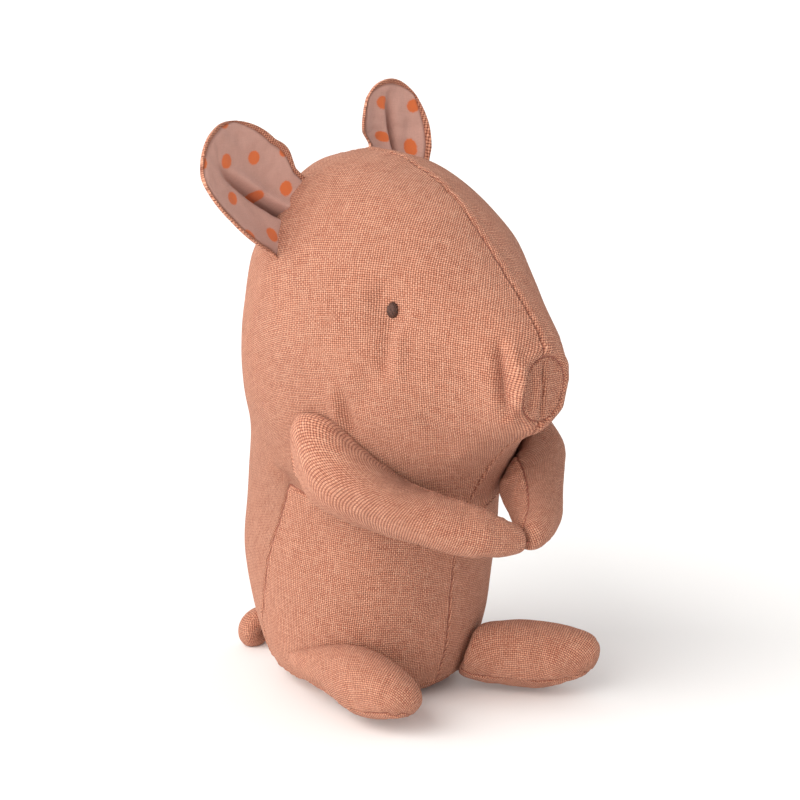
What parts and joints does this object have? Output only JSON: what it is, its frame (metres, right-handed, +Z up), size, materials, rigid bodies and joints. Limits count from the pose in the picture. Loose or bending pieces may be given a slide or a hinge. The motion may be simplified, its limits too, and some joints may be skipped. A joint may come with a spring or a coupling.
{
  "type": "plush pig",
  "caption": "Small sitting pig sewn of linen and stuffed, with joined hands, jointed legs, folding dotted ears and a curled tail.",
  "frame": {"origin": "middle of the flat seat that the pig sits on, on the floor", "axes": "+Z up from the seat, -Y the way the pig faces, +X to its left"},
  "size_m": [0.1251, 0.1494, 0.2252],
  "materials": {
    "linen": "matt salmon-pink plain weave",
    "cotton": "matt dusty pink with dots",
    "fibre": "white polyester fibre",
    "thread": "dark brown cotton thread"
  },
  "bodies": {
    "body": {"right_side_panel": "linen", "left_side_panel": "linen", "right_belly_panel": "linen", "left_belly_panel": "linen", "seat_panel": "linen", "snout_disk": "linen", "right_eye": "thread", "left_eye": "thread", "head_filling": "fibre", "torso_filling": "fibre"},
    "arms": {"right_arm_outer_panel": "linen", "right_arm_inner_panel": "linen", "right_arm_filling": "fibre", "left_arm_outer_panel": "linen", "left_arm_inner_panel": "linen", "left_arm_filling": "fibre", "hand_stitch": "thread"},
    "right_leg": {"right_leg_top_panel": "linen", "right_leg_sole_panel": "linen", "right_leg_filling": "fibre"},
    "left_leg": {"left_leg_top_panel": "linen", "left_leg_sole_panel": "linen", "left_leg_filling": "fibre"},
    "right_ear": {"right_ear_back": "linen", "right_ear_lining": "cotton"},
    "left_ear": {"left_ear_back": "linen", "left_ear_lining": "cotton"},
    "tail": {"tail": "linen"}
  },
  "joints": [
    {"name": "arms_swing", "type": "hinge", "parent": "body", "child": "arms", "pos_m": [0, -0.012, 0.1025], "axis": [1, 0, 0], "range_deg": [0, 14]},
    {"name": "right_leg_swing", "type": "hinge", "parent": "body", "child": "right_leg", "pos_m": [-0.03492, 0.006, 0.0146], "axis": [0, 0, 1], "range_deg": [-35, 0]},
    {"name": "left_leg_swing", "type": "hinge", "parent": "body", "child": "left_leg", "pos_m": [0.01502, -0.0361, 0.0146], "axis": [0, 0, 1], "range_deg": [-20, 20]},
    {"name": "right_ear_fold", "type": "hinge", "parent": "body", "child": "right_ear", "pos_m": [-0.03596, 0.00525, 0.18316], "axis": [-0.5447, -0.2945, -0.7852], "range_deg": [-20, 20], "stiffness_Nm_per_rad": 0.004},
    {"name": "left_ear_fold", "type": "hinge", "parent": "body", "child": "left_ear", "pos_m": [0.021, 0.0084, 0.19548], "axis": [0.8536, -0.1829, -0.4878], "range_deg": [-20, 20], "stiffness_Nm_per_rad": 0.004},
    {"name": "tail_swing", "type": "hinge", "parent": "body", "child": "tail", "pos_m": [0, 0.04083, 0.015], "axis": [0, 0, 1], "range_deg": [-8, 8], "stiffness_Nm_per_rad": 0.002}
  ]
}
